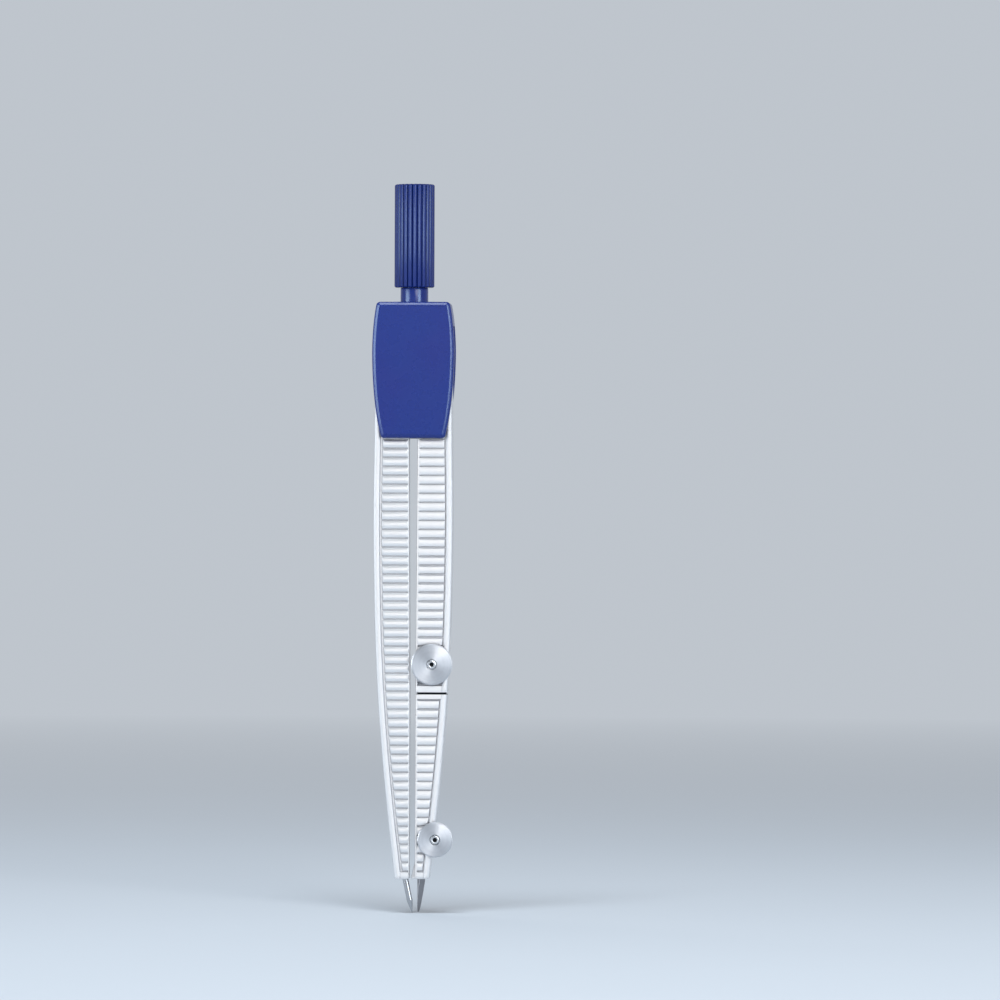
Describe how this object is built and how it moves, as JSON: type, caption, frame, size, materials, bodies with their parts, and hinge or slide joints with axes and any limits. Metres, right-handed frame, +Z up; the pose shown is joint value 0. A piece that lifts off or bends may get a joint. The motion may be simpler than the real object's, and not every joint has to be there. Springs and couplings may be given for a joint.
{
  "type": "drawing compass",
  "caption": "School drawing compass with a fluted blue handle, geared ribbed silver legs, a steel needle and a plug-in insert whose jaw clamps a bevelled lead.",
  "frame": {"origin": "the needle's tip with the legs closed, on the handle's axis, at the middle of the object's lowest level", "axes": "+Z up along the handle from the points to the grip, -Y out of the front face that carries the clamp screws' discs, +X towards the lead leg"},
  "size_m": [0.0138, 0.009, 0.1237],
  "materials": {
    "blue_plastic": "satin",
    "cast_metal": "satin",
    "spun_metal": "satin",
    "steel": "satin",
    "graphite": "satin"
  },
  "bodies": {
    "head": {"handle_grip": "blue_plastic", "handle_stem": "blue_plastic", "head_front_shell": "blue_plastic", "head_back_shell": "blue_plastic", "front_bearing_plate": "steel", "back_bearing_plate": "steel", "left_hinge_pin": "steel", "right_hinge_pin": "steel", "left_front_washer": "steel", "left_back_washer": "steel", "right_front_washer": "steel", "right_back_washer": "steel", "left_cover_screw": "steel", "right_cover_screw": "steel"},
    "needle_leg": {"left_leg": "cast_metal", "needle": "steel"},
    "lead_leg": {"right_upper_leg": "cast_metal"},
    "insert_screw": {"insert_clamp_knob": "spun_metal", "insert_clamp_stud": "steel"},
    "insert": {"lead_insert": "cast_metal"},
    "jaw": {"lead_clamp_jaw": "cast_metal"},
    "lead_screw": {"lead_clamp_knob": "spun_metal", "lead_clamp_stud": "steel"},
    "lead_rod": {"lead": "graphite"}
  },
  "joints": [
    {"name": "left_leg_swing", "type": "hinge", "parent": "head", "child": "needle_leg", "pos_m": [-0.00325, 0, 0.097], "axis": [0, 1, 0], "range_deg": [0, 50]},
    {"name": "right_leg_swing", "type": "hinge", "parent": "head", "child": "lead_leg", "pos_m": [0.00325, 0, 0.097], "axis": [0, -1, 0], "range_deg": [0, 50]},
    {"name": "insert_screw_turn", "type": "hinge", "parent": "lead_leg", "child": "insert_screw", "pos_m": [0.00329, 0, 0.0423], "axis": [0, -1, 0], "range_deg": [0, 540]},
    {"name": "insert_pull_out", "type": "slide", "parent": "lead_leg", "child": "insert", "axis": [0, 0, -1], "range_m": [0, 0.012]},
    {"name": "lead_screw_turn", "type": "hinge", "parent": "insert", "child": "lead_screw", "pos_m": [0.00393, 0, 0.0126], "axis": [0, -1, 0], "range_deg": [0, 360]},
    {"name": "jaw_open", "type": "slide", "parent": "insert", "child": "jaw", "axis": [0, 1, 0], "range_m": [0, 0.00035]},
    {"name": "lead_feed", "type": "slide", "parent": "insert", "child": "lead_rod", "axis": [0, 0, -1], "range_m": [0, 0.01]}
  ],
  "couplings": [
    {"joint": "right_leg_swing", "follows": "left_leg_swing", "ratio": 1},
    {"joint": "lead_screw_turn", "follows": "jaw_open", "rad_per_m": 17951}
  ]
}
